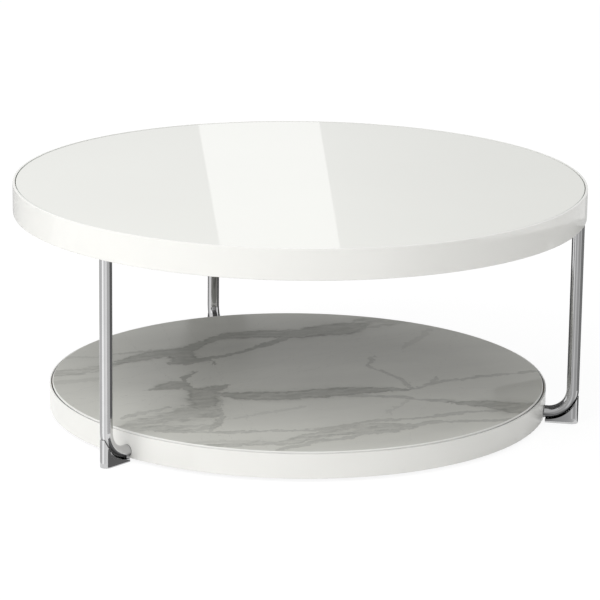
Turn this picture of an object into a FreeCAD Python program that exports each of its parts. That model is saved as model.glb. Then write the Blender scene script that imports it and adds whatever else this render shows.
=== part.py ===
import FreeCAD, Part
import math
import os

os.makedirs("parts", exist_ok=True)

# A low round table of two tiers on three bent tube legs. All sizes are in millimetres.
# The origin is on the table's axis at floor level, +Z is up and one leg stands at the back, on +Y.

# Overall sizes
TABLE_DIAMETER = 930.0
TABLE_HEIGHT = 382.0
SHELF_FLOOR_CLEARANCE = 5.5
LEFT_LEG_ANGLE = 210.0
RIGHT_LEG_ANGLE = 330.0
REAR_LEG_ANGLE = 90.0

# Tiers: a rim band round a hollow board, with an insert let in from above
TOP_TIER_HEIGHT = 49.0
SHELF_TIER_HEIGHT = 40.0
TOP_RIM_WALL = 4.0
SHELF_RIM_WALL = 2.5
RIM_OUTER_ROUND = 1.2
RIM_INNER_ROUND = 0.5
GLUE_LINE = 0.1

# Glass insert and the pads under it
GLASS_THICKNESS = 5.0
GLASS_RECESS = 0.5
GLASS_EDGE_GAP = 1.0
GLASS_BEVEL = 0.6
GLASS_PAD_DIAMETER = 30.0
GLASS_PAD_THICKNESS = 1.0
GLASS_PAD_EDGE_SETBACK = 70.0
GLASS_PAD_CIRCLE_SPACING = 200.0
GLASS_PAD_COUNTS = [8, 4]

# Boards of the top tier
TOP_PANEL_THICKNESS = 8.0
TOP_BASE_THICKNESS = 4.0
TOP_FRAME_WIDTH = 30.0
LEG_BLOCK_END_MARGIN = 10.0
LEG_BLOCK_SIDE_MARGIN = 13.0

# Boards of the shelf tier
SHELF_PANEL_THICKNESS = 8.0
SHELF_PANEL_PROUD = 2.0
SHELF_PANEL_EDGE_GAP = 2.0
SHELF_PANEL_BEVEL_WIDTH = 0.8
SHELF_PANEL_BEVEL_DEPTH = 1.5
SHELF_BASE_THICKNESS = 3.0
SHELF_FRAME_WIDTH = 30.0

# Paper honeycomb in both tiers
CELL_ACROSS_FLATS = 50.0
CELL_WALL = 0.8
CELL_TURN_ANGLE = 30.0
HONEYCOMB_CLEARANCE = 2.0
BOLT_ACCESS_DEPTH = 45.0
BOLT_ACCESS_WIDTH = 40.0

# Legs
TUBE_DIAMETER = 20.0
TUBE_WALL = 1.5
LEG_INSET = 1.0
LEG_BEND_RADIUS = 40.0
STUB_LENGTH = 6.0
STUB_RISE = 1.5
PLUG_CLEARANCE = 0.25
PLUG_END_CLEARANCE = 0.5

# Leg plates, let in flush with the underside of the top tier
LEG_PLATE_LENGTH = 82.0
LEG_PLATE_WIDTH = 44.0
LEG_PLATE_CORNER = 8.0
LEG_PLATE_GAP = 0.5
PLATE_SCREW_INNER_SETBACK = 12.0
PLATE_SCREW_PAIR_SPACING = 24.0
PLATE_SCREW_OUTER_MARGIN = 12.0

# Fasteners
THREAD_CLEARANCE = 0.05
PLATE_SCREW_DIAMETER = 6.0
PLATE_SCREW_ENGAGEMENT = 12.0
PLATE_SCREW_HEAD_DIAMETER = 11.0
PLATE_SCREW_HEAD_DEPTH = 2.5
PLATE_SCREW_SOCKET = 4.0
PLATE_SCREW_SOCKET_DEPTH = 1.8
SCREW_HOLE_CLEARANCE = 0.2
THREADED_INSERT_DIAMETER = 9.0
SCREW_TIP_ROOM = 1.0
SHELF_BOLT_DIAMETER = 6.0
SHELF_BOLT_ENGAGEMENT = 10.0
SHELF_BOLT_HEAD_DIAMETER = 10.0
SHELF_BOLT_HEAD_HEIGHT = 6.0
SHELF_BOLT_SOCKET = 5.0
SHELF_BOLT_SOCKET_DEPTH = 3.0
SHELF_WASHER_DIAMETER = 14.0
SHELF_WASHER_THICKNESS = 1.6

# Corner feet under the leg bends
FOOT_RIM_GAP = 3.0
FOOT_TIP_DROP = 11.0
FOOT_SEAT_GAP = 0.1
FOOT_PIN_DIAMETER = 4.0
FOOT_PIN_END_WALL = 2.0
FOOT_PIN_BOLT_GAP = 1.5
GLIDE_THICKNESS = 2.0
GLIDE_PROUD = 1.0
GLIDE_MARGIN = 3.0
GLIDE_PIN_GAP = 3.0
GLIDE_CLEARANCE = 0.05

# Round edges and box edges are found by their place, to within this distance
SAME_PLACE = 1e-6
# Corners that two cells share are matched after rounding to this many decimals
CORNER_DIGITS = 3

leg_angles = {"left": LEFT_LEG_ANGLE, "right": RIGHT_LEG_ANGLE, "rear": REAR_LEG_ANGLE}

# Radii that follow from the sizes above
top_radius = TABLE_DIAMETER / 2.0
top_board_radius = top_radius - TOP_RIM_WALL - GLUE_LINE
glass_radius = top_radius - TOP_RIM_WALL - GLASS_EDGE_GAP
top_frame_inner = top_board_radius - TOP_FRAME_WIDTH
tube_radius = TUBE_DIAMETER / 2.0
bore_radius = tube_radius - TUBE_WALL
leg_circle_radius = top_radius - LEG_INSET - tube_radius
bend_centre_radius = leg_circle_radius - LEG_BEND_RADIUS
shelf_radius = bend_centre_radius - STUB_LENGTH
shelf_board_radius = shelf_radius - SHELF_RIM_WALL - GLUE_LINE
shelf_panel_radius = shelf_radius - SHELF_RIM_WALL - SHELF_PANEL_EDGE_GAP
shelf_frame_inner = shelf_board_radius - SHELF_FRAME_WIDTH

# Levels that follow from the sizes above
top_bottom = TABLE_HEIGHT - TOP_TIER_HEIGHT
glass_top = TABLE_HEIGHT - GLASS_RECESS
glass_bottom = glass_top - GLASS_THICKNESS
top_panel_top = glass_bottom - GLASS_PAD_THICKNESS
top_core_top = top_panel_top - TOP_PANEL_THICKNESS
top_core_bottom = top_bottom + TOP_BASE_THICKNESS
shelf_lip = SHELF_FLOOR_CLEARANCE + SHELF_TIER_HEIGHT
shelf_panel_top = shelf_lip + SHELF_PANEL_PROUD
shelf_core_top = shelf_panel_top - SHELF_PANEL_THICKNESS
shelf_core_bottom = SHELF_FLOOR_CLEARANCE + SHELF_BASE_THICKNESS
stub_underside = SHELF_FLOOR_CLEARANCE + STUB_RISE
stub_axis = stub_underside + tube_radius
bend_centre_height = stub_axis + LEG_BEND_RADIUS
foot_tip = bend_centre_height - FOOT_TIP_DROP
foot_pin_top = stub_axis - SHELF_BOLT_DIAMETER / 2.0 - FOOT_PIN_BOLT_GAP

# Places along a leg's radius
plate_outer = top_board_radius - LEG_PLATE_GAP
plate_inner = plate_outer - LEG_PLATE_LENGTH
leg_block_inner = plate_inner - LEG_BLOCK_END_MARGIN
leg_block_outer = top_frame_inner - GLUE_LINE
leg_block_width = LEG_PLATE_WIDTH + 2.0 * LEG_BLOCK_SIDE_MARGIN
foot_inner = shelf_radius + FOOT_RIM_GAP
foot_pin_place = foot_inner + FOOT_PIN_END_WALL + FOOT_PIN_DIAMETER / 2.0
glide_inner = foot_pin_place + FOOT_PIN_DIAMETER / 2.0 + GLIDE_PIN_GAP

# Lengths of the screws, their inserts and the plug in the leg's stub
plate_screw_length = TOP_BASE_THICKNESS + PLATE_SCREW_ENGAGEMENT
threaded_insert_length = PLATE_SCREW_ENGAGEMENT + SCREW_TIP_ROOM
bend_bore_radius = LEG_BEND_RADIUS + bore_radius
plug_bend_reach = math.sqrt(bend_bore_radius ** 2 - (bend_bore_radius - PLUG_CLEARANCE) ** 2)
plug_length = STUB_LENGTH + plug_bend_reach - PLUG_END_CLEARANCE

UP = FreeCAD.Vector(0, 0, 1)
OUTWARD = FreeCAD.Vector(1, 0, 0)
ACROSS = FreeCAD.Vector(0, 1, 0)
ORIGIN = FreeCAD.Vector(0, 0, 0)


def point(along, across, height):
    return FreeCAD.Vector(along, across, height)


def cylinder(radius, start, direction, length):
    return Part.makeCylinder(radius, length, start, direction)


def disc(radius, bottom, top):
    return cylinder(radius, point(0, 0, bottom), UP, top - bottom)


def block(along, across_width, bottom, top):
    start = point(along[0], -across_width / 2.0, bottom)
    return Part.makeBox(along[1] - along[0], across_width, top - bottom, start)


def hexagon(centre, across_flats, start_angle):
    circumradius = across_flats / math.sqrt(3.0)
    corners = []
    for step in range(6):
        angle = math.radians(start_angle + 60.0 * step)
        x = centre[0] + circumradius * math.cos(angle)
        y = centre[1] + circumradius * math.sin(angle)
        corners.append((x, y))
    return corners


def closed_wire(corners, height):
    points = [point(x, y, height) for x, y in corners]
    return Part.makePolygon(points + points[:1])


def hex_socket(across_flats, depth):
    """A six sided prism that stands on the origin, to be cut from a screw head."""
    face = Part.Face(closed_wire(hexagon((0.0, 0.0), across_flats, 0.0), 0.0))
    return face.extrude(UP * depth)


def turned_to(shape, angle):
    """A copy of a shape made along +X, turned about the table's axis."""
    copy = shape.copy()
    copy.rotate(ORIGIN, UP, angle)
    return copy


def at_each_leg(shapes):
    return [turned_to(shape, angle) for angle in leg_angles.values() for shape in shapes]


def circles_at(shape, radius, height):
    """The round edges of a turned piece that lie at one radius and one height."""
    found = []
    for edge in shape.Edges:
        curve = edge.Curve
        if not isinstance(curve, Part.Circle):
            continue
        if abs(curve.Radius - radius) < SAME_PLACE and abs(curve.Center.z - height) < SAME_PLACE:
            found.append(edge)
    return found


def export(name, shape):
    shape.exportStep("parts/" + name + ".step")


# Rims

def rim(radius, wall, bottom, top):
    inner = radius - wall
    band = disc(radius, bottom, top).cut(disc(inner, bottom, top))
    outer_edges = circles_at(band, radius, bottom) + circles_at(band, radius, top)
    band = band.makeFillet(RIM_OUTER_ROUND, outer_edges)
    return band.makeFillet(RIM_INNER_ROUND, circles_at(band, inner, top))


def top_rim():
    return rim(top_radius, TOP_RIM_WALL, top_bottom, TABLE_HEIGHT)


def shelf_rim():
    band = rim(shelf_radius, SHELF_RIM_WALL, SHELF_FLOOR_CLEARANCE, shelf_lip)
    for hole in at_each_leg([shelf_bolt_hole()]):
        band = band.cut(hole)
    return band


# Inserts

def bevelled_disc(radius, bottom, top, bevel_width, bevel_depth):
    bevel_bottom = top - bevel_depth
    crown = Part.makeCone(radius, radius - bevel_width, bevel_depth, point(0, 0, bevel_bottom), UP)
    return disc(radius, bottom, bevel_bottom).fuse(crown).removeSplitter()


def top_glass():
    return bevelled_disc(glass_radius, glass_bottom, glass_top, GLASS_BEVEL, GLASS_BEVEL)


def glass_pads():
    pads = []
    circle_radius = glass_radius - GLASS_PAD_EDGE_SETBACK
    for count in GLASS_PAD_COUNTS:
        start = point(circle_radius, 0, top_panel_top)
        pad = cylinder(GLASS_PAD_DIAMETER / 2.0, start, UP, GLASS_PAD_THICKNESS)
        for step in range(count):
            pads.append(turned_to(pad, 360.0 * (step + 0.5) / count))
        circle_radius -= GLASS_PAD_CIRCLE_SPACING
    return Part.makeCompound(pads)


def shelf_panel():
    return bevelled_disc(shelf_panel_radius, shelf_core_top, shelf_panel_top,
                         SHELF_PANEL_BEVEL_WIDTH, SHELF_PANEL_BEVEL_DEPTH)


# Boards

def top_panel():
    return disc(top_board_radius, top_core_top, top_panel_top)


def top_frame_ring():
    outer = disc(top_board_radius, top_core_bottom, top_core_top)
    return outer.cut(disc(top_frame_inner, top_core_bottom, top_core_top))


def leg_block():
    body = block((leg_block_inner, leg_block_outer), leg_block_width, top_core_bottom, top_core_top)
    body = body.common(disc(leg_block_outer, top_core_bottom, top_core_top))
    depth = threaded_insert_length + SCREW_TIP_ROOM
    for along, across in plate_screw_places():
        start = point(along, across, top_core_bottom)
        body = body.cut(cylinder(THREADED_INSERT_DIAMETER / 2.0 + THREAD_CLEARANCE, start, UP, depth))
    return body


def top_base_panel():
    panel = disc(top_board_radius, top_bottom, top_core_bottom)
    for slot in at_each_leg([plate_outline(LEG_PLATE_GAP)]):
        panel = panel.cut(slot)
    return panel


def shelf_frame_ring():
    ring = disc(shelf_board_radius, shelf_core_bottom, shelf_core_top)
    ring = ring.cut(disc(shelf_frame_inner, shelf_core_bottom, shelf_core_top))
    for hole in at_each_leg([shelf_bolt_hole()]):
        ring = ring.cut(hole)
    return ring


def shelf_base_panel():
    return disc(shelf_board_radius, SHELF_FLOOR_CLEARANCE, shelf_core_bottom)


# Paper honeycomb

def cell_centres(radius, keep_outs):
    """Centres of the whole cells that fit in a circle and stay clear of each leg's keep-out strip."""
    reach = CELL_ACROSS_FLATS / math.sqrt(3.0)
    row_height = CELL_ACROSS_FLATS * math.sqrt(3.0) / 2.0
    rows = int(radius / row_height) + 1
    columns = int(radius / CELL_ACROSS_FLATS) + 1
    centres = []
    for row in range(-rows, rows + 1):
        for column in range(-columns, columns + 1):
            x = CELL_ACROSS_FLATS * (column + 0.5 * (row % 2))
            y = row_height * row
            if math.hypot(x, y) + reach > radius:
                continue
            if any(touches_strip(x, y, reach, strip) for strip in keep_outs):
                continue
            centres.append((x, y))
    return centres


def touches_strip(x, y, reach, strip):
    """True where a cell comes within reach of a strip that runs outwards along one leg's radius."""
    angle, inner_end, width = strip
    turn = math.radians(angle)
    along = x * math.cos(turn) + y * math.sin(turn)
    across = y * math.cos(turn) - x * math.sin(turn)
    return along + reach > inner_end and abs(across) - reach < width / 2.0


def outlines(centres):
    """Closed corner lists round a patch of cells: the cell sides that no two cells share."""
    following = {}
    for centre in centres:
        cell = hexagon(centre, CELL_ACROSS_FLATS, CELL_TURN_ANGLE)
        corners = [(round(x, CORNER_DIGITS), round(y, CORNER_DIGITS)) for x, y in cell]
        for first, second in zip(corners, corners[1:] + corners[:1]):
            following[(first, second)] = True
    edge_sides = {first: second for first, second in following if (second, first) not in following}
    loops = []
    while edge_sides:
        corner, after = edge_sides.popitem()
        loop = [corner]
        while after != corner:
            loop.append(after)
            after = edge_sides.pop(after)
        loops.append(loop)
    return loops


def honeycomb(radius, keep_outs, bottom, top):
    centres = cell_centres(radius - HONEYCOMB_CLEARANCE, keep_outs)
    wires = [closed_wire(loop, bottom) for loop in outlines(centres)]
    for centre in centres:
        wires.append(closed_wire(hexagon(centre, CELL_ACROSS_FLATS - CELL_WALL, CELL_TURN_ANGLE), bottom))
    face = Part.makeFace(wires, "Part::FaceMakerBullseye")
    return face.extrude(UP * (top - bottom))


def top_honeycomb():
    inner_end = leg_block_inner - HONEYCOMB_CLEARANCE
    width = leg_block_width + 2.0 * HONEYCOMB_CLEARANCE
    keep_outs = [(angle, inner_end, width) for angle in leg_angles.values()]
    return honeycomb(top_frame_inner, keep_outs, top_core_bottom, top_core_top)


def shelf_honeycomb():
    inner_end = shelf_frame_inner - BOLT_ACCESS_DEPTH
    keep_outs = [(angle, inner_end, BOLT_ACCESS_WIDTH) for angle in leg_angles.values()]
    return honeycomb(shelf_frame_inner, keep_outs, shelf_core_bottom, shelf_core_top)


# Legs

def bent_rod(radius):
    """A round bar along the leg: down the upright, round the bend and in to the shelf's rim."""
    upright_top = point(leg_circle_radius, 0, top_bottom)
    upright_end = point(leg_circle_radius, 0, bend_centre_height)
    stub_start = point(bend_centre_radius, 0, stub_axis)
    stub_end = point(shelf_radius, 0, stub_axis)
    diagonal = LEG_BEND_RADIUS * math.sqrt(0.5)
    bend_middle = point(bend_centre_radius + diagonal, 0, bend_centre_height - diagonal)
    path = Part.Wire([
        Part.LineSegment(upright_top, upright_end).toShape(),
        Part.Arc(upright_end, bend_middle, stub_start).toShape(),
        Part.LineSegment(stub_start, stub_end).toShape(),
    ])
    section = Part.Wire([Part.makeCircle(radius, upright_top, UP)])
    return path.makePipeShell([section], True, True)


def leg_tube():
    tube = bent_rod(tube_radius).cut(bent_rod(bore_radius))
    return tube.cut(foot_pin_hole())


def leg_plug():
    """Threaded straight plug in the leg's stub, as long as the start of the bend lets it be."""
    start = point(shelf_radius, 0, stub_axis)
    plug = cylinder(bore_radius - PLUG_CLEARANCE, start, OUTWARD, plug_length)
    plug = plug.cut(cylinder(SHELF_BOLT_DIAMETER / 2.0 + THREAD_CLEARANCE, start, OUTWARD, plug_length))
    return plug.cut(foot_pin_hole())


# Leg plates and their screws

def plate_outline(gap):
    """The plate's tongue shape, grown by a gap and run out past the rim at its outer end."""
    start = plate_inner - gap
    body = block((start, top_radius), LEG_PLATE_WIDTH + 2.0 * gap, top_bottom, top_core_bottom)
    inner_edges = [edge for edge in body.Edges if abs(edge.BoundBox.XMax - start) < SAME_PLACE]
    upright_edges = [edge for edge in inner_edges if edge.BoundBox.YLength < SAME_PLACE]
    return body.makeFillet(LEG_PLATE_CORNER + gap, upright_edges)


def plate_screw_places():
    """Distances along and across the leg's radius: a pair near the inner end and one nearer the tube."""
    pair = plate_inner + PLATE_SCREW_INNER_SETBACK
    single = leg_block_outer - PLATE_SCREW_OUTER_MARGIN
    half_spacing = PLATE_SCREW_PAIR_SPACING / 2.0
    return [(pair, -half_spacing), (pair, half_spacing), (single, 0.0)]


def countersunk_shape(growth, length):
    """Head cone and shank of a plate screw, standing on the origin with its head below."""
    head_radius = PLATE_SCREW_HEAD_DIAMETER / 2.0 + growth
    shank_radius = PLATE_SCREW_DIAMETER / 2.0 + growth
    head = Part.makeCone(head_radius, shank_radius, PLATE_SCREW_HEAD_DEPTH, ORIGIN, UP)
    return head.fuse(cylinder(shank_radius, ORIGIN, UP, length)).removeSplitter()


def leg_plate():
    plate = plate_outline(0.0).common(disc(plate_outer, top_bottom, top_core_bottom))
    hole = countersunk_shape(SCREW_HOLE_CLEARANCE, TOP_BASE_THICKNESS)
    for along, across in plate_screw_places():
        plate = plate.cut(hole.translated(point(along, across, top_bottom)))
    return plate


def leg_plate_screws():
    screw = countersunk_shape(0.0, plate_screw_length)
    screw = screw.cut(hex_socket(PLATE_SCREW_SOCKET, PLATE_SCREW_SOCKET_DEPTH))
    screws = [screw.translated(point(along, across, top_bottom)) for along, across in plate_screw_places()]
    return Part.makeCompound(at_each_leg(screws))


def leg_block_inserts():
    sleeves = []
    for along, across in plate_screw_places():
        start = point(along, across, top_core_bottom)
        sleeve = cylinder(THREADED_INSERT_DIAMETER / 2.0, start, UP, threaded_insert_length)
        bore = cylinder(PLATE_SCREW_DIAMETER / 2.0 + THREAD_CLEARANCE, start, UP, threaded_insert_length)
        sleeves.append(sleeve.cut(bore))
    return Part.makeCompound(at_each_leg(sleeves))


# Bolts from inside the shelf into the legs

def washer_seat():
    """How far out a flat washer goes before its edge meets the curved inner face of the frame ring."""
    return math.sqrt(shelf_frame_inner ** 2 - (SHELF_WASHER_DIAMETER / 2.0) ** 2)


def shelf_bolt_hole():
    radius = SHELF_BOLT_DIAMETER / 2.0 + SCREW_HOLE_CLEARANCE
    start = point(shelf_frame_inner - SHELF_FRAME_WIDTH, 0, stub_axis)
    return cylinder(radius, start, OUTWARD, shelf_radius - start.x)


def shelf_bolts():
    under_head = washer_seat() - SHELF_WASHER_THICKNESS
    tip = shelf_radius + SHELF_BOLT_ENGAGEMENT
    head_start = point(under_head - SHELF_BOLT_HEAD_HEIGHT, 0, stub_axis)
    head = cylinder(SHELF_BOLT_HEAD_DIAMETER / 2.0, head_start, OUTWARD, SHELF_BOLT_HEAD_HEIGHT)
    shank = cylinder(SHELF_BOLT_DIAMETER / 2.0, head_start, OUTWARD, tip - head_start.x)
    socket = hex_socket(SHELF_BOLT_SOCKET, SHELF_BOLT_SOCKET_DEPTH)
    socket.rotate(ORIGIN, ACROSS, 90.0)
    bolt = head.fuse(shank).removeSplitter().cut(socket.translated(head_start))
    return Part.makeCompound(at_each_leg([bolt]))


def shelf_washers():
    start = point(washer_seat() - SHELF_WASHER_THICKNESS, 0, stub_axis)
    washer = cylinder(SHELF_WASHER_DIAMETER / 2.0, start, OUTWARD, SHELF_WASHER_THICKNESS)
    hole_radius = SHELF_BOLT_DIAMETER / 2.0 + SCREW_HOLE_CLEARANCE
    washer = washer.cut(cylinder(hole_radius, start, OUTWARD, SHELF_WASHER_THICKNESS))
    return Part.makeCompound(at_each_leg([washer]))


# Feet

def round_ended_bar(inner, outer_centre, radius, bottom, top):
    """A bar along a leg's radius, square at its inner end and half round at its outer end."""
    bar = block((inner, outer_centre), 2.0 * radius, bottom, top)
    return bar.fuse(cylinder(radius, point(outer_centre, 0, bottom), UP, top - bottom)).removeSplitter()


def foot():
    """Corner block under the bend, hollowed on top to the bend's outer curve."""
    body = round_ended_bar(foot_inner, leg_circle_radius, tube_radius, GLIDE_PROUD, foot_tip)
    cradle_radius = LEG_BEND_RADIUS + tube_radius + FOOT_SEAT_GAP
    cradle_start = point(bend_centre_radius, -TUBE_DIAMETER, bend_centre_height)
    body = body.cut(cylinder(cradle_radius, cradle_start, ACROSS, 2.0 * TUBE_DIAMETER))
    under_stub = (foot_inner, bend_centre_radius)
    if under_stub[0] < under_stub[1]:
        body = body.cut(block(under_stub, TUBE_DIAMETER, stub_underside - FOOT_SEAT_GAP, foot_tip))
    body = body.cut(glide_shape(GLIDE_CLEARANCE, GLIDE_PROUD))
    return body.cut(foot_pin_hole())


def glide_shape(growth, bottom):
    inner = glide_inner - growth
    radius = tube_radius - GLIDE_MARGIN + growth
    return round_ended_bar(inner, leg_circle_radius, radius, bottom, GLIDE_THICKNESS + growth)


def foot_glide():
    return glide_shape(0.0, 0.0)


def foot_pin_hole():
    start = point(foot_pin_place, 0, GLIDE_PROUD)
    length = foot_pin_top - GLIDE_PROUD + THREAD_CLEARANCE
    return cylinder(FOOT_PIN_DIAMETER / 2.0 + THREAD_CLEARANCE, start, UP, length)


def foot_pins():
    start = point(foot_pin_place, 0, GLIDE_PROUD)
    pin = cylinder(FOOT_PIN_DIAMETER / 2.0, start, UP, foot_pin_top - GLIDE_PROUD)
    return Part.makeCompound(at_each_leg([pin]))


# One file for each node

single_pieces = {
    "top_glass": top_glass(),
    "glass_pads": glass_pads(),
    "top_rim": top_rim(),
    "top_panel": top_panel(),
    "top_frame_ring": top_frame_ring(),
    "top_honeycomb": top_honeycomb(),
    "top_base_panel": top_base_panel(),
    "leg_block_inserts": leg_block_inserts(),
    "leg_plate_screws": leg_plate_screws(),
    "shelf_panel": shelf_panel(),
    "shelf_rim": shelf_rim(),
    "shelf_frame_ring": shelf_frame_ring(),
    "shelf_honeycomb": shelf_honeycomb(),
    "shelf_base_panel": shelf_base_panel(),
    "shelf_bolts": shelf_bolts(),
    "shelf_washers": shelf_washers(),
    "foot_pins": foot_pins(),
}
for name, shape in single_pieces.items():
    export(name, shape)

leg_pieces = {
    "leg_block": leg_block(),
    "leg_plate": leg_plate(),
    "leg_tube": leg_tube(),
    "leg_plug": leg_plug(),
    "foot": foot(),
    "foot_glide": foot_glide(),
}
for side, angle in leg_angles.items():
    for name, shape in leg_pieces.items():
        export(name + "_" + side, turned_to(shape, angle))
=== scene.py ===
import math

import bpy
from mathutils import Matrix, Vector

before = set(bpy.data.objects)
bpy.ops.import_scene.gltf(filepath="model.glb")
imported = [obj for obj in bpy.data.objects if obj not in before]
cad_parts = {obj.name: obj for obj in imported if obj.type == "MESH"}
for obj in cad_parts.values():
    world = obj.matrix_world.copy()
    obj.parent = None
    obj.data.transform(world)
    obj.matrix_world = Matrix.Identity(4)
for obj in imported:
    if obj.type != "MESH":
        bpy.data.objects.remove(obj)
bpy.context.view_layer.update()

# Looks of a low round table: a painted glass top, a marble-effect shelf and three chromed legs.
# Lengths are in metres, in the frame of the CAD model: the floor is at 0 and the axis at x = y = 0.
# Angles are in degrees. A way's angle is how far it turns to the right of straight away from the camera.

# Camera, for an image of 600 by 600. The lens and the sensor are in millimetres.
CAMERA_PLACE = (-1.6807, -4.7312, 1.5227)
CAMERA_TURN = -19.579
CAMERA_TILT = 75.022
CAMERA_ROLL = 0.712
CAMERA_LENS = 190.4
SENSOR_WIDTH = 36.0

# Light: a white world and one soft key lamp, placed by its way, its height as an angle and its distance
WHITE = (1.0, 1.0, 1.0, 1.0)
WORLD_STRENGTH = 0.637
KEY_POWER = 116.5
KEY_SIZE = 3.4
KEY_DISTANCE = 5.0
KEY_ANGLE = 223.0
KEY_HEIGHT = 42.0

# Floor: its colour under the light, the glow that is seen, and the grey that takes the table's shadow
FLOOR_HALF_WIDTH = 6.0
FLOOR_COLOUR = (0.92, 0.92, 0.91, 1.0)
FLOOR_GLOW = 0.90
FLOOR_GREY = (0.16, 0.16, 0.16, 1.0)

# Light panel behind the table, which shows as the bright stripe on the glass
PANEL_DISTANCE = 2.0
PANEL_BOTTOM = 0.60
PANEL_TOP = 1.15
PANEL_LEFT = -0.252
PANEL_WIDTH = 0.274
PANEL_LEAN = 0.178
PANEL_STRENGTH = 1.36

# Grey card behind the table, which dims the right of the glass: stops of brightness by the place to the right
GREY_CARD_DISTANCE = 2.02
GREY_CARD_BOTTOM = 0.50
GREY_CARD_TOP = 1.30
GREY_CARD_STOPS = [(0.03, 1.0), (0.20, 0.93), (0.41, 0.86), (0.60, 0.83), (1.5, 0.81)]

# Dim walls of the room behind the camera, which show in the rear leg's bend, between each angle and the next
WALL_DISTANCE = 5.6
WALL_HEIGHTS = (0.0, 2.4)
WALL_ANGLES = [110.0, 145.0, 180.0, 215.0, 250.0]
WALL_BRIGHTNESS = 0.27

# Strip light before those walls, which shows as the white streak on the right leg's bend
STRIP_DISTANCE = 3.0
STRIP_HEIGHTS = (0.30, 1.15)
STRIP_ANGLES = (236.0, 247.0)
STRIP_STRENGTH = 2.2

# Flags: cards that stand round each leg and show in polished surfaces alone. Each has two angles and a
# brightness. The foot of a flag has a radius round the leg and a height. The legs stand on a circle, at
# angles from the X axis.
LEG_CIRCLE_RADIUS = 0.454
LEG_ANGLES = {"left": 210.0, "right": 330.0, "rear": 90.0}
FLAG_TOP_RADIUS = 0.14
FLAG_TOP_HEIGHT = 0.302
FLAG_FEET = {"leaning": (0.035, 0.0), "upright": (0.13, 0.0), "raised": (0.13, 0.02)}
FLAGS = {
    ("left", "leaning"): [
        (-80, -40, 0.66), (-117, -80, 0.72), (-141, -117, 1.50), (-154, -141, 1.10), (-170, -154, 0.87),
    ],
    ("left", "raised"): [(45, 107, 0.15), (107, 157, 0.62)],
    ("right", "leaning"): [(175, 195, 0.75), (157, 175, 0.52), (138, 157, 0.44), (117, 138, 0.60)],
    ("right", "raised"): [(57, 117, 0.25), (0, 57, 0.18), (-75, 0, 0.10)],
    ("right", "upright"): [(195, 213, 0.50), (213, 225, 0.62)],
    ("rear", "leaning"): [(-70, 0, 0.10), (-95, -70, 0.65), (-130, -95, 0.95), (0, 92, 0.10)],
}

# Cards on the floor that show in polished surfaces alone. Each has a lift off the floor, then one brightness
# or stops of brightness by the distance past the axis, and then corners. A corner is how far it is to the
# camera's right, and how far past the axis.
# dark_card, left_foot_card, right_foot_card and rim_line_card are painted shade: the table's shadow on the
# floor
FLOOR_CARDS = {
    "back_card": (0.0005, 0.57, [(-2.4, 0.35), (2.4, 0.35), (2.4, 3.2), (-2.4, 3.2)]),
    "near_card": (
        0.0007,
        [(-1.65, 1.0), (-1.3, 0.35), (0.2, 0.15), (0.65, 0.30), (0.95, 0.48), (1.3, 0.58)],
        [(0.9, -1.65), (1.9, -1.65), (1.9, 0.95), (1.1, 1.4), (0.85, 1.3), (0.85, 0.95)],
    ),
    "right_card": (
        0.0010,
        [(-0.8, 1.4), (-0.28, 1.7), (0.2, 1.65), (0.42, 1.3), (0.7, 0.97), (1.4, 0.85)],
        [(1.725, -0.82), (1.78, -0.65), (1.82, -0.47), (1.85, -0.275), (1.85, -0.065), (1.82, 0.16),
         (1.755, 0.40), (1.635, 0.665), (1.425, 0.95), (1.255, 1.105), (0.965, 1.27), (1.2, 2.4),
         (3.2, 1.0), (3.2, -0.82)],
    ),
    "dark_card": (0.0015, 0.17, [(-0.25, 0.42), (0.95, -0.20), (0.95, 0.60), (0.55, 0.90), (-0.25, 0.90)]),
    "left_foot_card": (
        0.0025,
        0.17,
        [(-0.2913, -0.356), (-0.245, -0.432), (-0.15, -0.40), (-0.19, -0.362), (-0.22, -0.345),
         (-0.25, -0.324), (-0.268, -0.31)],
    ),
    "rim_end_card": (0.0025, 0.85, [(0.415, -0.06), (0.52, -0.06), (0.62, 0.12), (0.42, 0.14)]),
    "right_foot_card": (
        0.0029,
        0.15,
        [(0.450, -0.085), (0.456, -0.03), (0.465, 0.02), (0.50, 0.075), (0.575, 0.045), (0.62, -0.04),
         (0.60, -0.085)],
    ),
    "rim_line_card": (0.0027, 0.02, [(0.409, 0.0), (0.411, 0.01), (0.445, 0.17), (0.409, 0.17)]),
}

# The table's own shade on the floor, as polished surfaces see it: one sector before the shelf's rim and one
# beside the right foot. Each lies between two angles and has stops of (radius, brightness).
SHADES = {
    "rim_shade": (
        (142.0, 120.0),
        [(0.4085, 0.25), (0.426, 0.37), (0.446, 0.42), (0.48, 0.45), (0.58, 0.50), (0.66, 1.0)],
    ),
    "floor_shade": (
        (120.0, 102.5),
        [(0.4085, 0.25), (0.417, 0.30), (0.426, 0.39), (0.446, 0.47), (0.462, 0.62), (0.475, 0.75),
         (0.50, 1.0)],
    ),
}
SHADE_STEPS = 12
SHADE_LIFT = 0.002

# Finishes. A tone is red, green and blue from 0 to 1, and pairs of tones go from light to dark. A polish is a
# range of roughness. The first two ranges are of noise, where it turns from one tone or polish to the other.
CLOUD_RANGE = (0.3, 0.7)
DULL_RANGE = (0.3, 0.75)
FLATTEN = (1.0, 1.0, 0.0)

GLASS_TONES = ((0.815, 0.821, 0.774), (0.800, 0.805, 0.760))
GLASS_EDGE_TONE = (0.50, 0.56, 0.52)
GLASS_EDGE_RADIUS = 0.4593
GLASS_EDGE_FADE = 0.0004
GLASS_POLISH = (0.012, 0.045)
GLASS_IOR = 1.5

TOP_LACQUER = {"tone": (0.872, 0.868, 0.838), "polish_range": (0.02, 0.045)}
# The shelf's lacquer tone is a little lighter than the top's: painted light against the shade near the floor
SHELF_LACQUER_PAINTED_LIGHT = {"tone": (0.890, 0.886, 0.855), "polish_range": (0.20, 0.24)}
LACQUER_DARKEST = 0.984
LACQUER_IOR = 1.45

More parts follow.
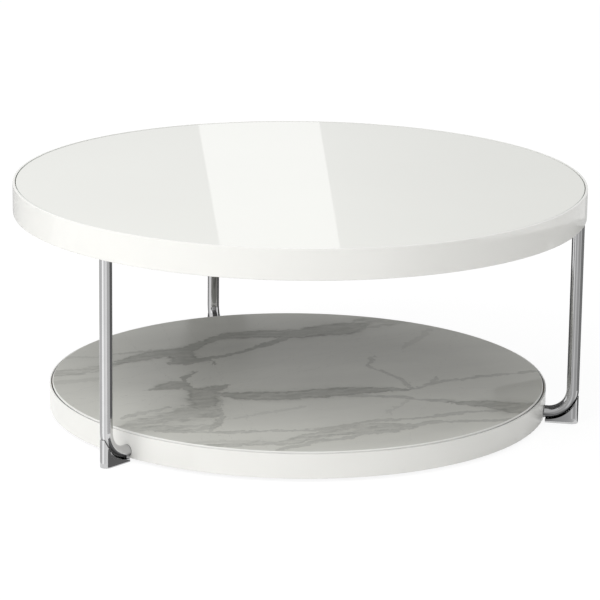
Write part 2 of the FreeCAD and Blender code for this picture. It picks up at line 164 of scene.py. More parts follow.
TUBE_CHROME = {"tone": (0.62, 0.62, 0.625), "polish_range": (0.05, 0.10)}
FOOT_CHROME = {"tone": (0.58, 0.58, 0.585), "polish_range": (0.07, 0.13)}
ZINC_PLATE = {"tone": (0.55, 0.56, 0.57), "polish_range": (0.22, 0.38)}
CHROME_DARKEST = 0.94

# Painted shade on a tube: on its underside, by how far its face looks up, and at its end by the shelf's rim
PAINTED_SHADE_TONE = (0.20, 0.20, 0.203)
SHADED_UNDERSIDE_RISE = (-0.34, -0.14)
STUB_END_RADIUS = 0.4090
STUB_END_FADE = 0.0006

PAPER_TONES = ((0.52, 0.38, 0.24), (0.40, 0.28, 0.17))
PAPER_POLISH = (0.75, 0.90)
FIBRE_STRETCH = (1.0, 1.0, 0.15)
FIBRE_RANGE = (0.35, 0.65)

BOARD_TONES = ((0.56, 0.42, 0.27), (0.36, 0.25, 0.14))
BOARD_POLISH = (0.65, 0.85)

GREY_FOIL = {
    "tones": ((0.155, 0.155, 0.158), (0.13, 0.13, 0.132)), "polish_range": (0.45, 0.6),
    "cloud_scale": 14.0, "grain_scale": 600.0, "grain_depth": 0.0002,
}
CLEAR_GEL = {
    "tones": ((0.78, 0.80, 0.80), (0.70, 0.73, 0.73)), "polish_range": (0.25, 0.4),
    "cloud_scale": 60.0, "grain_scale": 500.0, "grain_depth": 0.0002,
}
GREY_GLIDE = {
    "tones": ((0.16, 0.16, 0.165), (0.11, 0.11, 0.115)), "polish_range": (0.5, 0.7),
    "cloud_scale": 80.0, "grain_scale": 700.0, "grain_depth": 0.0003,
}

# Marble print: painted shade turns the ground from front to back tones along Y; painted light pales one place
FRONT_TONES = ((0.772, 0.771, 0.714), (0.711, 0.709, 0.657))
BACK_PAINTED_SHADE_TONES = ((0.582, 0.581, 0.538), (0.530, 0.529, 0.491))
FRONT_TO_BACK = (-0.20, 0.20)
PAINTED_LIGHT_PLACE = (0.02, -0.07, 0.0)
PAINTED_LIGHT_REACH = (0.13, 0.29)
PAINTED_LIGHT_GAIN = 1.2
MARBLE_POLISH = (0.42, 0.50)
MARBLE_SPECULAR = 0.08

# The marble panel's edge: a white bevel, with painted shade under it in the gap round the panel
SHELF_EDGE_RADIUS = 0.4019
SHELF_EDGE_BOTTOM = 0.0446
SHELF_EDGE_FADE = 0.0002
BEVEL_TONE = (0.94, 0.94, 0.91)
GAP_SHADE_TONE = (0.10, 0.10, 0.10)

# Veins multiply the ground by their tone. The profile is stops of (distance from the middle line, strength),
# with the distance as a share of the vein's reach, which is in half widths. Streaks along X make a vein
# stronger or weaker: a range of noise, and then the range of strength. Cracks run near dark veins.
VEIN_TONE = (0.50, 0.50, 0.49)
VEIN_REACH = 2.2
VEIN_PROFILE = [(0.0, 0.80), (0.25, 0.72), (0.40, 1.0), (0.455, 0.66), (0.52, 0.26), (0.70, 0.08), (1.0, 0.0)]
FARTHEST_VEIN = 9.0
STREAK_STRETCH = (0.30, 1.0, 1.0)
DEEP_STREAKS = (0.36, 0.60, 0.62, 1.0)
SOFT_STREAKS = (0.38, 0.62, 0.20, 0.75)
FINE_STRENGTH = 0.62
FAINT_STRENGTH = 0.26
CRACK_WIDTH = 0.05
CRACK_REACH = (0.8, 1.6)
CRACK_STRENGTH = 0.7

# Courses of the veins: points of (x, y, half width), in millimetres from the table's axis. A vein runs one
# way along its line. A half width of 0 ends it, and with any other at its end it runs on to the shelf's edge.
MILLIMETRES = 1000.0
LEAST_SWING = 0.001
LEAST_HALF_WIDTH = 0.0001
DARK_VEINS = [
    [(-60, 262, 0), (-30, 272, 16), (0, 270, 21), (25, 268, 24), (50, 262, 27), (75, 254, 28),
     (100, 252, 26), (125, 257, 28), (150, 258, 33), (175, 258, 35), (200, 268, 28), (218, 276, 12),
     (232, 280, 0)],
    [(70, 240, 0), (50, 226, 8), (25, 208, 7), (0, 195, 6), (-25, 180, 6), (-60, 163, 5), (-100, 152, 5),
     (-120, 150, 0)],
    [(-272, 162, 0), (-250, 172, 10), (-225, 182, 14), (-200, 192, 18), (-175, 200, 20), (-150, 205, 18),
     (-125, 214, 14), (-100, 233, 11), (-75, 249, 10), (-50, 268, 10), (-25, 274, 0)],
    [(-143, 224, 0), (-143, 205, 18), (-144, 185, 22), (-146, 165, 24), (-148, 150, 22), (-150, 135, 14),
     (-160, 116, 0)],
    [(-187, 141, 0), (-170, 140, 10), (-150, 143, 14), (-125, 145, 12), (-105, 150, 6), (-94, 153, 0)],
    [(-106, 154, 0), (-106, 128, 2), (-112, 108, 0)],
    [(-148, 86, 0), (-156, 77, 3), (-168, 68, 4), (-178, 58, 4), (-184, 45, 4), (-192, 30, 0)],
    [(-263, -1, 0), (-245, 2, 6), (-228, 10, 14), (-210, 16, 20), (-195, 20, 16), (-181, 28, 0)],
    [(-205, 42, 0), (-200, 25, 14), (-198, 5, 12), (-188, -12, 12), (-180, -25, 16), (-180, -45, 24),
     (-187, -70, 25), (-192, -92, 24), (-200, -112, 16), (-206, -128, 0)],
    [(-187, -28, 0), (-165, -28, 14), (-145, -22, 14), (-130, -14, 6), (-119, -8, 0)],
    [(-167, -54, 0), (-145, -62, 12), (-120, -75, 20), (-90, -85, 22), (-50, -92, 22), (-20, -95, 23),
     (20, -97, 23), (55, -99, 20), (85, -103, 16), (115, -110, 11), (140, -117, 7), (157, -122, 0)],
    [(183, -194, 0), (200, -213, 8), (215, -220, 11), (235, -232, 18), (260, -254, 27), (290, -272, 30),
     (325, -285, 34), (380, -300, 30)],
]
PALE_VEINS = [
    [(-402, 138, 10), (-375, 137, 15), (-325, 140, 15), (-290, 152, 14), (-262, 165, 10), (-238, 172, 0)],
    [(188, 264, 0), (225, 282, 32), (250, 285, 28), (275, 281, 18), (300, 277, 12), (330, 275, 6),
     (352, 272, 0)],
    [(-184, -70, 0), (-191, -92, 20), (-204, -117, 28), (-228, -139, 30), (-262, -155, 30),
     (-300, -169, 26), (-340, -181, 20), (-390, -196, 16)],
    [(-195, -112, 0), (-192, -135, 14), (-195, -152, 14), (-205, -166, 8), (-216, -171, 0)],
    [(-350, -199, 10), (-310, -203, 10), (-275, -210, 14), (-245, -218, 14), (-220, -218, 10),
     (-200, -204, 6), (-189, -190, 0)],
    [(-152, -341, 0), (-120, -328, 12), (-90, -318, 14), (-60, -308, 16), (-25, -300, 20), (0, -297, 22),
     (30, -298, 22), (55, -300, 16), (80, -302, 10), (97, -302, 0)],
    [(-264, -308, 0), (-235, -314, 8), (-200, -319, 10), (-170, -320, 10), (-150, -328, 8),
     (-139, -336, 0)],
]
FINE_VEINS = [
    [(-264, 222, 0), (-240, 222, 4), (-200, 222, 4), (-165, 219, 5), (-144, 214, 0)],
    [(-160, -60, 0), (-166, -85, 4), (-172, -105, 4), (-180, -140, 4), (-188, -168, 5), (-200, -198, 6),
     (-215, -222, 5), (-229, -242, 0)],
    [(-342, -140, 0), (-325, -128, 5), (-290, -115, 6), (-265, -105, 5), (-250, -97, 0)],
    [(-317, -212, 0), (-275, -231, 5), (-250, -238, 4), (-200, -256, 5), (-150, -265, 4), (-75, -279, 4),
     (-25, -275, 5), (0, -268, 5), (50, -266, 6), (100, -271, 5), (160, -266, 6), (200, -266, 5),
     (235, -273, 5), (262, -280, 0)],
    [(-167, -368, 0), (-145, -358, 5), (-100, -346, 5), (-75, -339, 6), (-40, -339, 6), (-18, -326, 6),
     (10, -322, 6), (50, -319, 7), (85, -309, 7), (105, -302, 6), (150, -305, 6), (200, -315, 6),
     (245, -321, 5), (277, -325, 0)],
    [(33, -119, 0), (75, -132, 6), (100, -145, 6), (125, -155, 6), (142, -171, 4), (165, -185, 6),
     (185, -196, 7), (202, -211, 6)],
    [(157, -123, 0), (160, -75, 4), (157, -50, 4), (150, -28, 3), (145, 0, 4), (138, 20, 3), (150, 55, 4),
     (166, 90, 0)],
    [(146, -124, 0), (176, -113, 4), (200, -100, 5), (225, -92, 6), (265, -90, 5), (300, -85, 6),
     (320, -86, 5), (360, -83, 4), (412, -82, 4)],
    [(197, -106, 0), (207, -92, 5), (214, -75, 4), (223, -58, 0)],
    [(-184, -70, 0), (-190, -92, 22), (-200, -118, 25), (-217, -136, 25), (-240, -147, 20),
     (-265, -156, 11), (-288, -164, 0)],
    [(-147, -323, 0), (-120, -318, 4), (-95, -303, 4), (-60, -292, 5), (-30, -278, 5), (0, -268, 4),
     (22, -261, 0)],
]
FAINT_VEINS = [
    [(-402, 87, 8), (-360, 86, 8), (-325, 88, 7), (-298, 90, 0)],
    [(-342, 222, 0), (-315, 222, 5), (-290, 216, 4), (-268, 212, 0)],
    [(69, -247, 0), (85, -215, 3), (110, -190, 3), (139, -169, 0)],
    [(-192, -190, 0), (-150, -182, 3), (-100, -172, 4), (-60, -162, 4), (-38, -154, 0)],
    [(224, 106, 0), (250, 135, 5), (275, 160, 6), (300, 190, 6), (322, 217, 0)],
    [(-302, -295, 0), (-250, -292, 5), (-210, -300, 5), (-178, -311, 0)],
]


class Tree:
    """Short calls that add nodes to one material's or world's tree."""

    MIX_FIRST = 6
    MIX_SECOND = 7
    MIX_RESULT = 2

    def __init__(self, owner):
        owner.use_nodes = True
        self.nodes = owner.node_tree.nodes
        self.links = owner.node_tree.links
        self.nodes.clear()

    def add(self, kind, inputs=None, **settings):
        node = self.nodes.new("ShaderNode" + kind)
        for name, value in settings.items():
            setattr(node, name, value)
        for name, value in (inputs or {}).items():
            self.give(node.inputs[name], value)
        return node

    def give(self, socket, value):
        if isinstance(value, bpy.types.NodeSocket):
            self.links.new(value, socket)
        else:
            socket.default_value = value

    def end(self, shader, output="OutputMaterial"):
        """Ends the tree in a shader."""
        self.add(output, {"Surface": shader.outputs[0]})

    def math(self, operation, *values):
        inputs = dict(enumerate(values))
        return self.add("Math", inputs, operation=operation).outputs[0]

    def vector_math(self, operation, *values):
        names = (0, "Scale") if operation == "SCALE" else (0, 1)
        node = self.add("VectorMath", dict(zip(names, values)), operation=operation)
        return node.outputs["Value" if operation in ("DOT_PRODUCT", "LENGTH") else "Vector"]

    def noise(self, vector, scale, detail=3.0, roughness=0.5, output="Fac"):
        inputs = {"Vector": vector, "Scale": scale, "Detail": detail, "Roughness": roughness}
        return self.add("TexNoise", inputs).outputs[output]

    def spread(self, value, low, high, to_low=0.0, to_high=1.0):
        """Carries a value from one range to another, and keeps it inside the second."""
        inputs = {"Value": value, "From Min": low, "From Max": high, "To Min": to_low, "To Max": to_high}
        return self.add("MapRange", inputs, clamp=True).outputs["Result"]

    def mix(self, factor, first, second, blend="MIX"):
        node = self.add("Mix", data_type="RGBA", blend_type=blend)
        self.give(node.inputs["Factor"], factor)
        self.give(node.inputs[self.MIX_FIRST], first)
        self.give(node.inputs[self.MIX_SECOND], second)
        return node.outputs[self.MIX_RESULT]

    def tone(self, factor, light, dark):
        """Goes from a light tone to a dark one."""
        return self.mix(factor, shade(*light), shade(*dark))

    def bump(self, height, strength, distance):
        inputs = {"Height": height, "Strength": strength, "Distance": distance}
        return self.add("Bump", inputs).outputs["Normal"]

    def place(self):
        """The surface's place in metres, in the table's frame."""
        return self.add("TexCoord").outputs["Object"]


def shade(red, green, blue):
    return (red, green, blue, 1.0)


def darkened(tone, share):
    return [share * part for part in tone]


def new_material(name):
    material = bpy.data.materials.new(name)
    return material, Tree(material)


def surface(name):
    """A new material with its tree and its main shader."""
    material, tree = new_material(name)
    shader = tree.add("BsdfPrincipled")
    tree.end(shader)
    return material, tree, shader


def finish_surface(tree, shader, colour, roughness, normal, **constants):
    tree.give(shader.inputs["Base Color"], colour)
    tree.give(shader.inputs["Roughness"], roughness)
    tree.give(shader.inputs["Normal"], normal)
    for name, value in constants.items():
        shader.inputs[name.replace("_", " ")].default_value = value


def ramp(tree, value, stops):
    """A grey ramp: stops of (place, height)."""
    node = tree.add("ValToRGB", {"Fac": value})
    elements = node.color_ramp.elements
    while len(elements) < len(stops):
        elements.new(0.5)
    for element, (place, height) in zip(elements, stops):
        element.position = place
        element.color = shade(height, height, height)
    return node.outputs["Color"]


def float_curve(tree, value, points):
    """A smooth curve through (place, height) points, both from 0 to 1."""
    node = tree.add("FloatCurve", {"Value": value})
    curve = node.mapping.curves[0]
    while len(curve.points) < len(points):
        curve.points.new(0.5, 0.5)
    for made, wanted in zip(curve.points, points):
        made.location = wanted
        made.handle_type = "AUTO"
    node.mapping.extend = "HORIZONTAL"
    node.mapping.update()
    return node.outputs["Value"]


def radius_from_axis(tree, place):
    return tree.vector_math("LENGTH", tree.vector_math("MULTIPLY", place, FLATTEN))


def two_tone(name, tones, polish_range, cloud_scale, grain_scale, grain_depth):
    """A plain painted, moulded or pressed finish: two near tones in soft clouds, over a fine grain."""
    material, tree, shader = surface(name)
    place = tree.place()
    clouds = tree.noise(place, cloud_scale, detail=4.0)
    grain = tree.noise(place, grain_scale, detail=2.0, roughness=0.6)
    colour = tree.tone(tree.spread(clouds, *CLOUD_RANGE), *tones)
    polish = tree.spread(clouds, *CLOUD_RANGE, *polish_range)
    normal = tree.bump(grain, strength=0.25, distance=grain_depth)
    finish_surface(tree, shader, colour, polish, normal)
    return material


def painted_glass():
    """White paint behind clear float glass, a little green where the ground edge shows."""
    material, tree, shader = surface("painted_glass")
    place = tree.place()
    clouds = tree.noise(place, scale=3.0)
    paint = tree.tone(tree.spread(clouds, *CLOUD_RANGE), *GLASS_TONES)
    radius = radius_from_axis(tree, place)
    edge = tree.spread(radius, GLASS_EDGE_RADIUS, GLASS_EDGE_RADIUS + GLASS_EDGE_FADE)
    colour = tree.mix(edge, paint, shade(*GLASS_EDGE_TONE))
    smears = tree.noise(place, scale=11.0, detail=5.0, roughness=0.6)
    polish = tree.spread(smears, *DULL_RANGE, *GLASS_POLISH)
    waves = tree.noise(place, scale=6.0, detail=1.0)
    normal = tree.bump(waves, strength=0.05, distance=0.0004)
    finish_surface(tree, shader, colour, polish, normal, IOR=GLASS_IOR)
    return material


def rim_lacquer(name, tone, polish_range):
    """Sprayed white lacquer with a faint orange peel."""
    material, tree, shader = surface(name)
    place = tree.place()
    clouds = tree.noise(place, scale=9.0, detail=4.0)
    colour = tree.tone(tree.spread(clouds, *CLOUD_RANGE), tone, darkened(tone, LACQUER_DARKEST))
    peel = tree.noise(place, scale=420.0, detail=2.0, roughness=0.4)
    polish = tree.spread(clouds, *CLOUD_RANGE, *polish_range)
    normal = tree.bump(peel, strength=0.05, distance=0.00002)
    finish_surface(tree, shader, colour, polish, normal, IOR=LACQUER_IOR)
    return material


def bright_chrome(name, tone, polish_range, paint_shade=False):
    """Plated steel: a bright mirror with faint ripples and a few dull clouds."""
    material, tree, shader = surface(name)
    place = tree.place()
    clouds = tree.noise(place, scale=30.0, detail=4.0)
    colour = tree.tone(tree.spread(clouds, *CLOUD_RANGE), tone, darkened(tone, CHROME_DARKEST))
    if paint_shade:
        # Painted shade on the bend's underside and at the joint with the rim
        colour = painted_bend_shade(tree, place, colour)
    polish = tree.spread(clouds, *DULL_RANGE, *polish_range)
    ripples = tree.noise(place, scale=140.0, detail=2.0)
    normal = tree.bump(ripples, strength=0.04, distance=0.0002)
    finish_surface(tree, shader, colour, polish, normal, Metallic=1.0)
    return material


def painted_bend_shade(tree, place, colour):
    """Paints shade on the plating: on the bend's underside and at the joint with the rim."""
    facing = tree.add("NewGeometry").outputs["Normal"]
    rise = tree.add("SeparateXYZ", {"Vector": facing}).outputs["Z"]
    underside_shade = tree.spread(rise, *SHADED_UNDERSIDE_RISE, to_low=1.0, to_high=0.0)
    radius = radius_from_axis(tree, place)
    joint_shade = tree.spread(radius, STUB_END_RADIUS, STUB_END_RADIUS + STUB_END_FADE, to_low=1.0, to_high=0.0)
    return tree.mix(tree.math("MAXIMUM", underside_shade, joint_shade), colour, shade(*PAINTED_SHADE_TONE))


def paper_comb():
    """Brown kraft paper with short fibres along its height."""
    material, tree, shader = surface("kraft_paper")
    stretched = tree.vector_math("MULTIPLY", tree.place(), FIBRE_STRETCH)
    fibres = tree.noise(stretched, scale=380.0, detail=4.0, roughness=0.7)
    colour = tree.tone(tree.spread(fibres, *FIBRE_RANGE), *PAPER_TONES)
    polish = tree.spread(fibres, *CLOUD_RANGE, *PAPER_POLISH)
    normal = tree.bump(fibres, strength=0.3, distance=0.0003)
    finish_surface(tree, shader, colour, polish, normal)
    return material


def pressed_board():
    """Particle board: pressed chips of several browns."""
    material, tree, shader = surface("pressed_board")
    chips = tree.add("TexVoronoi", {"Vector": tree.place(), "Scale": 260.0, "Randomness": 1.0})
    chip = tree.add("SeparateColor", {"Color": chips.outputs["Color"]}).outputs["Red"]
    colour = tree.tone(chip, *BOARD_TONES)
    polish = tree.spread(chip, 0.0, 1.0, *BOARD_POLISH)
    normal = tree.bump(chips.outputs["Distance"], strength=0.4, distance=0.0006)
    finish_surface(tree, shader, colour, polish, normal)
    return material


def vein_distance(tree, place, points):
    """How far a place is from a vein's middle line, in half widths of the vein there."""
    spots = [Vector((x, y, 0.0)) / MILLIMETRES for x, y, half_width in points]
    half_widths = [half_width / MILLIMETRES for x, y, half_width in points]
    start = spots[0]
    chord = spots[-1] - start
    length = chord.length
    along_way = chord / length
    across_way = Vector((-along_way.y, along_way.x, 0.0))
    steps = [(spot - start).dot(along_way) / length for spot in spots]
    sides = [(spot - start).dot(across_way) for spot in spots]
    swing = max(abs(side) for side in sides) + LEAST_SWING
    widest = max(half_widths)
    lines = [(step, 0.5 + 0.5 * side / swing) for step, side in zip(steps, sides)]
    widths = [(step, half_width / widest) for step, half_width in zip(steps, half_widths)]
    from_start = tree.vector_math("SUBTRACT", place, start)
    along = tree.math("DIVIDE", tree.vector_math("DOT_PRODUCT", from_start, along_way), length)
    across = tree.vector_math("DOT_PRODUCT", from_start, across_way)
    middle = tree.math("MULTIPLY_ADD", float_curve(tree, along, lines), 2.0 * swing, -swing)
    width_here = tree.math("MULTIPLY_ADD", float_curve(tree, along, widths), widest, LEAST_HALF_WIDTH)
    offset = tree.math("ABSOLUTE", tree.math("SUBTRACT", across, middle))
    return tree.math("DIVIDE", offset, width_here)


def nearest_vein(tree, place, veins):
    nearest = FARTHEST_VEIN
    for points in veins:
        nearest = tree.math("MINIMUM", vein_distance(tree, place, points), nearest)
    return nearest


def vein_strength(tree, nearest):
    return ramp(tree, tree.math("DIVIDE", nearest, VEIN_REACH), VEIN_PROFILE)


def drift(tree, colour, reach):
    """A sideways shift from a random colour: up to half of reach each way."""
    centred = tree.vector_math("SUBTRACT", colour, (0.5, 0.5, 0.5))
    return tree.vector_math("MULTIPLY", centred, (reach, reach, 0.0))


def printed_place(tree, place):
    """A place in the flat print, pushed about so that veins wander and have ragged, chipped edges."""
    wander_noise = tree.noise(place, scale=16.0, detail=3.0, roughness=0.55, output="Color")
    ragged_noise = tree.noise(place, scale=70.0, detail=5.0, roughness=0.65, output="Color")
    wander = drift(tree, wander_noise, reach=0.014)
    ragged = drift(tree, ragged_noise, reach=0.020)
    chips = tree.add("TexVoronoi", {"Vector": tree.vector_math("ADD", place, ragged), "Scale": 85.0})
    jagged = drift(tree, chips.outputs["Color"], reach=0.006)
    wandering = tree.vector_math("ADD", place, wander)
    moved = tree.vector_math("ADD", wandering, tree.vector_math("ADD", ragged, jagged))
    return tree.vector_math("MULTIPLY", moved, FLATTEN)


def cracks(tree, flat, near_dark):
    """Thin cracks in the stone, close to the dark veins."""
    cells = tree.add("TexVoronoi", {"Vector": flat, "Scale": 24.0}, feature="DISTANCE_TO_EDGE")
    lines = tree.spread(cells.outputs["Distance"], 0.0, CRACK_WIDTH, to_low=1.0, to_high=0.0)
    closeness = tree.spread(near_dark, *CRACK_REACH, to_low=CRACK_STRENGTH, to_high=0.0)
    return tree.math("MULTIPLY", lines, closeness)


def all_veins(tree, flat, streaks):
    """How strongly the print is veined, from 0 to 1."""
    near_dark = nearest_vein(tree, flat, DARK_VEINS)
    dark = vein_strength(tree, near_dark)
    pale = vein_strength(tree, nearest_vein(tree, flat, PALE_VEINS))
    fine = vein_strength(tree, nearest_vein(tree, flat, FINE_VEINS))
    faint = vein_strength(tree, nearest_vein(tree, flat, FAINT_VEINS))
    deep = tree.spread(streaks, *DEEP_STREAKS)
    soft = tree.spread(streaks, *SOFT_STREAKS)
    strongest = cracks(tree, flat, near_dark)
    for strength, share in ((dark, deep), (pale, soft), (faint, FAINT_STRENGTH)):
        strongest = tree.math("MAXIMUM", strongest, tree.math("MULTIPLY", strength, share))
    streaked = tree.math("MULTIPLY", fine, deep)
    return tree.math("MAXIMUM", strongest, tree.math("MULTIPLY", streaked, FINE_STRENGTH))


def stone_ground(tree, place, flat, along):
    """The print's ground: soft clouds, painted shade towards the back, painted light round one place."""
    clouds = tree.spread(tree.noise(along, scale=9.0, detail=5.0, roughness=0.60), *CLOUD_RANGE)
    front = tree.tone(clouds, *FRONT_TONES)
    back = tree.tone(clouds, *BACK_PAINTED_SHADE_TONES)
    depth = tree.add("SeparateXYZ", {"Vector": place}).outputs["Y"]
    stone = tree.mix(tree.spread(depth, *FRONT_TO_BACK), front, back)
    from_painted_light = tree.vector_math("LENGTH", tree.vector_math("SUBTRACT", flat, PAINTED_LIGHT_PLACE))
    painted_light = tree.spread(from_painted_light, *PAINTED_LIGHT_REACH, to_low=PAINTED_LIGHT_GAIN, to_high=1.0)
    return tree.vector_math("SCALE", stone, painted_light)


def bevelled_edge(tree, place, colour):
    """Puts the white bevel round the print, and painted shade under it in the gap."""
    radius = radius_from_axis(tree, place)
    edge = tree.spread(radius, SHELF_EDGE_RADIUS, SHELF_EDGE_RADIUS + SHELF_EDGE_FADE)
    height = tree.add("SeparateXYZ", {"Vector": place}).outputs["Z"]
    gap_shade_top = SHELF_EDGE_BOTTOM - SHELF_EDGE_FADE
    gap_shade = tree.spread(height, gap_shade_top, SHELF_EDGE_BOTTOM, to_low=1.0, to_high=0.0)
    return tree.mix(edge, colour, tree.tone(gap_shade, BEVEL_TONE, GAP_SHADE_TONE))


def marble_print():
    """White marble with grey veins, printed and sealed under a satin film, with a white bevelled edge."""
    material, tree, shader = surface("marble_print")
    place = tree.place()
    flat = printed_place(tree, place)
    along = tree.vector_math("MULTIPLY", flat, STREAK_STRETCH)
    streaks = tree.noise(along, scale=90.0, detail=5.0, roughness=0.62)
    vein = all_veins(tree, flat, streaks)
    stone = stone_ground(tree, place, flat, along)
    veined = tree.mix(1.0, stone, shade(*VEIN_TONE), "MULTIPLY")
    colour = bevelled_edge(tree, place, tree.mix(vein, stone, veined))
    polish = tree.spread(vein, 0.0, 1.0, *MARBLE_POLISH)
    grain = tree.noise(place, scale=900.0, detail=2.0)
    normal = tree.bump(grain, strength=0.08, distance=0.0001)
    finish_surface(tree, shader, colour, polish, normal, Specular_IOR_Level=MARBLE_SPECULAR)
    return material


def give_finish(material, *node_names):
    for name in node_names:
        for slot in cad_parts[name].material_slots:
            slot.material = material


def each_leg(*stems):
    return [stem + "_" + side for stem in stems for side in LEG_ANGLES]


def dress_table():
    give_finish(painted_glass(), "top_glass")
    give_finish(rim_lacquer("top_lacquer", **TOP_LACQUER), "top_rim")
    give_finish(rim_lacquer("shelf_lacquer", **SHELF_LACQUER_PAINTED_LIGHT), "shelf_rim")
    give_finish(marble_print(), "shelf_panel")
    give_finish(bright_chrome("tube_chrome", **TUBE_CHROME, paint_shade=True), *each_leg("leg_tube"))
    give_finish(bright_chrome("foot_chrome", **FOOT_CHROME), *each_leg("foot", "leg_plate"))
    fasteners = ["leg_plate_screws", "leg_block_inserts", "shelf_bolts", "shelf_washers", "foot_pins"]
    give_finish(bright_chrome("zinc_plate", **ZINC_PLATE), *fasteners, *each_leg("leg_plug"))
    boards = ["top_panel", "top_frame_ring", "shelf_frame_ring"]
    give_finish(pressed_board(), *boards, *each_leg("leg_block"))
    give_finish(paper_comb(), "top_honeycomb", "shelf_honeycomb")
    give_finish(two_tone("grey_foil", **GREY_FOIL), "top_base_panel", "shelf_base_panel")
    give_finish(two_tone("clear_gel", **CLEAR_GEL), "glass_pads")
    give_finish(two_tone("grey_glide", **GREY_GLIDE), *each_leg("foot_glide"))


def seen_directly(tree):
    """1 for what the camera sees straight on, in a mirror or through glass, and 0 for light on a surface."""
    path = tree.add("LightPath").outputs
    mirror = tree.math("MAXIMUM", path["Is Glossy Ray"], path["Is Transmission Ray"])
    return tree.math("MAXIMUM", path["Is Camera Ray"], mirror)


def white_world():
    world = bpy.data.worlds.new("studio")
    bpy.context.scene.world = world
    tree = Tree(world)
    soft = tree.add("Background", {"Color": WHITE, "Strength": WORLD_STRENGTH})
    white = tree.add("Background", {"Color": WHITE, "Strength": 1.0})
    mixed = tree.add("MixShader", {0: seen_directly(tree), 1: soft.outputs[0], 2: white.outputs[0]})
    tree.end(mixed, "OutputWorld")


def polygon(name, corners, material):
    mesh = bpy.data.meshes.new(name)
    mesh.from_pydata(corners, [], [tuple(range(len(corners)))])
    mesh.materials.append(material)
    card = bpy.data.objects.new(name, mesh)
    bpy.context.scene.collection.objects.link(card)
    return card


def floor():
    """A pale floor that reads as white and still takes a soft shadow under the table."""
    material, tree = new_material("pale_floor")
    pale = tree.add("BsdfDiffuse", {"Color": FLOOR_COLOUR})
    glow = tree.add("Emission", {"Color": WHITE, "Strength": FLOOR_GLOW})
    grey = tree.add("BsdfDiffuse", {"Color": FLOOR_GREY})
    bright = tree.add("AddShader", {0: glow.outputs[0], 1: grey.outputs[0]})
    tree.end(tree.add("MixShader", {0: seen_directly(tree), 1: pale.outputs[0], 2: bright.outputs[0]}))
    half = FLOOR_HALF_WIDTH
    polygon("floor", [(-half, -half, 0), (half, -half, 0), (half, half, 0), (-half, half, 0)], material)


def glowing(name, strength):
    material, tree = new_material(name)
    tree.end(tree.add("Emission", {"Color": WHITE, "Strength": strength}))
    return material


def fading(name, stops, way):
    """A glow that changes along a way from the axis: stops of (distance, strength)."""
    material, tree = new_material(name)
    along = tree.vector_math("DOT_PRODUCT", tree.place(), way)
    start, end = stops[0][0], stops[-1][0]
    strongest = max(strength for distance, strength in stops)
    places = [((distance - start) / (end - start), strength / strongest) for distance, strength in stops]
    tone = ramp(tree, tree.spread(along, start, end), places)
    tree.end(tree.add("Emission", {"Color": tone, "Strength": strongest}))
    return material


def fading_outwards(name, stops):
    """A glow that changes with the distance from the axis: stops of (radius, strength)."""
    material, tree = new_material(name)
    reach = stops[-1][0]
    radius = tree.math("DIVIDE", radius_from_axis(tree, tree.place()), reach)
    tone = ramp(tree, radius, [(stop / reach, strength) for stop, strength in stops])
    tree.end(tree.add("Emission", {"Color": tone, "Strength": 1.0}))
    return material


def mirror_card(name, corners, material):
    """A card that shows in polished surfaces alone and lights nothing else."""
    card = polygon(name, corners, material)
    card.visible_camera = False
    card.visible_diffuse = False
    card.visible_shadow = False


turn = Matrix.Rotation(math.radians(CAMERA_TURN), 4, "Z")


def from_camera(side, away, height):
    """A place given by how far it is to the camera's right, away from the camera past the axis, and up."""
    return turn @ Vector((side, away, height))


def level_way(degrees):
    angle = math.radians(degrees)
    return from_camera(math.sin(angle), math.cos(angle), 0.0)


def up(height):
    return Vector((0.0, 0.0, height))


def light_panel():
    lean = PANEL_LEAN * (PANEL_TOP - PANEL_BOTTOM)
    right = PANEL_LEFT + PANEL_WIDTH
    bottom_corners = [(PANEL_LEFT, PANEL_BOTTOM), (right, PANEL_BOTTOM)]
    top_corners = [(right + lean, PANEL_TOP), (PANEL_LEFT + lean, PANEL_TOP)]
    places = [from_camera(side, PANEL_DISTANCE, height) for side, height in bottom_corners + top_corners]
    mirror_card("light_panel", places, glowing("panel_glow", PANEL_STRENGTH))


def grey_card():
    left, right = GREY_CARD_STOPS[0][0], GREY_CARD_STOPS[-1][0]
    bottom, top = GREY_CARD_BOTTOM, GREY_CARD_TOP
    corners = [(left, bottom), (right, bottom), (right, top), (left, top)]
    places = [from_camera(side, GREY_CARD_DISTANCE, height) for side, height in corners]
    to_the_right = from_camera(1.0, 0.0, 0.0)
    mirror_card("grey_card", places, fading("grey_card", GREY_CARD_STOPS, to_the_right))


def standing_card(name, distance, angles, heights, brightness):
    """An upright card far from the table, between two angles."""
    start, end = [distance * level_way(angle) for angle in angles]
    low, high = [up(height) for height in heights]
    corners = [start + low, end + low, end + high, start + high]
    mirror_card(name, corners, glowing(name, brightness))


def room_walls():
    for number, angles in enumerate(zip(WALL_ANGLES, WALL_ANGLES[1:])):
        standing_card("wall_" + str(number), WALL_DISTANCE, angles, WALL_HEIGHTS, WALL_BRIGHTNESS)


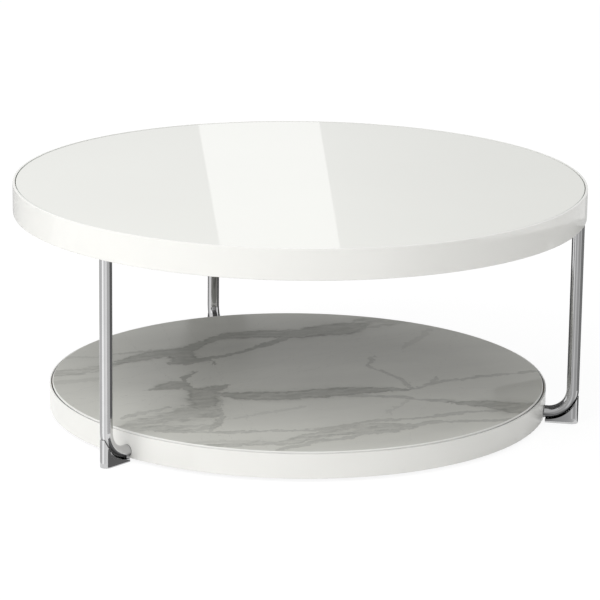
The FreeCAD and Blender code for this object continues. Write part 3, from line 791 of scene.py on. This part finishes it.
def stand_flags():
    for (side, stand), cards in FLAGS.items():
        leg_angle = math.radians(LEG_ANGLES[side])
        leg = LEG_CIRCLE_RADIUS * Vector((math.cos(leg_angle), math.sin(leg_angle), 0.0))
        foot_radius, foot_height = FLAG_FEET[stand]
        for start, end, brightness in cards:
            ways = [level_way(start), level_way(end)]
            feet = [leg + foot_radius * way + up(foot_height) for way in ways]
            tops = [leg + FLAG_TOP_RADIUS * way + up(FLAG_TOP_HEIGHT) for way in reversed(ways)]
            name = "flag_" + side + "_" + str(start)
            mirror_card(name, feet + tops, glowing(name, brightness))


def floor_cards():
    past_the_axis = from_camera(0.0, 1.0, 0.0)
    for name, (lift, brightness, corners) in FLOOR_CARDS.items():
        if isinstance(brightness, list):
            material = fading(name, brightness, past_the_axis)
        else:
            material = glowing(name, brightness)
        mirror_card(name, [from_camera(side, away, lift) for side, away in corners], material)


def floor_shades():
    """Sectors of the floor that darken towards the shelf's rim."""
    for name, ((start, end), stops) in SHADES.items():
        reach = stops[-1][0]
        angles = [start + (end - start) * step / SHADE_STEPS for step in range(SHADE_STEPS + 1)]
        arc = [reach * level_way(angle) + up(SHADE_LIFT) for angle in angles]
        mirror_card(name, [up(SHADE_LIFT)] + arc, fading_outwards(name, stops))


def key_light():
    data = bpy.data.lights.new("key", "AREA")
    data.energy = KEY_POWER
    data.size = KEY_SIZE
    lamp = bpy.data.objects.new("key", data)
    bpy.context.scene.collection.objects.link(lamp)
    height = math.radians(KEY_HEIGHT)
    place = KEY_DISTANCE * (math.cos(height) * level_way(KEY_ANGLE) + up(math.sin(height)))
    lamp.location = place
    lamp.rotation_mode = "QUATERNION"
    lamp.rotation_quaternion = (-place).to_track_quat("-Z", "Y")
    lamp.visible_camera = False
    lamp.visible_glossy = False


def camera():
    data = bpy.data.cameras.new("camera")
    data.lens = CAMERA_LENS
    data.sensor_width = SENSOR_WIDTH
    made = bpy.data.objects.new("camera", data)
    bpy.context.scene.collection.objects.link(made)
    tilt = Matrix.Rotation(math.radians(CAMERA_TILT), 4, "X")
    roll = Matrix.Rotation(math.radians(CAMERA_ROLL), 4, "Z")
    made.matrix_world = Matrix.Translation(CAMERA_PLACE) @ turn @ tilt @ roll
    bpy.context.scene.camera = made


dress_table()
white_world()
floor()
light_panel()
grey_card()
room_walls()
standing_card("strip_light", STRIP_DISTANCE, STRIP_ANGLES, STRIP_HEIGHTS, STRIP_STRENGTH)
stand_flags()
floor_cards()
floor_shades()
key_light()
camera()
bpy.context.scene.view_settings.view_transform = "Standard"
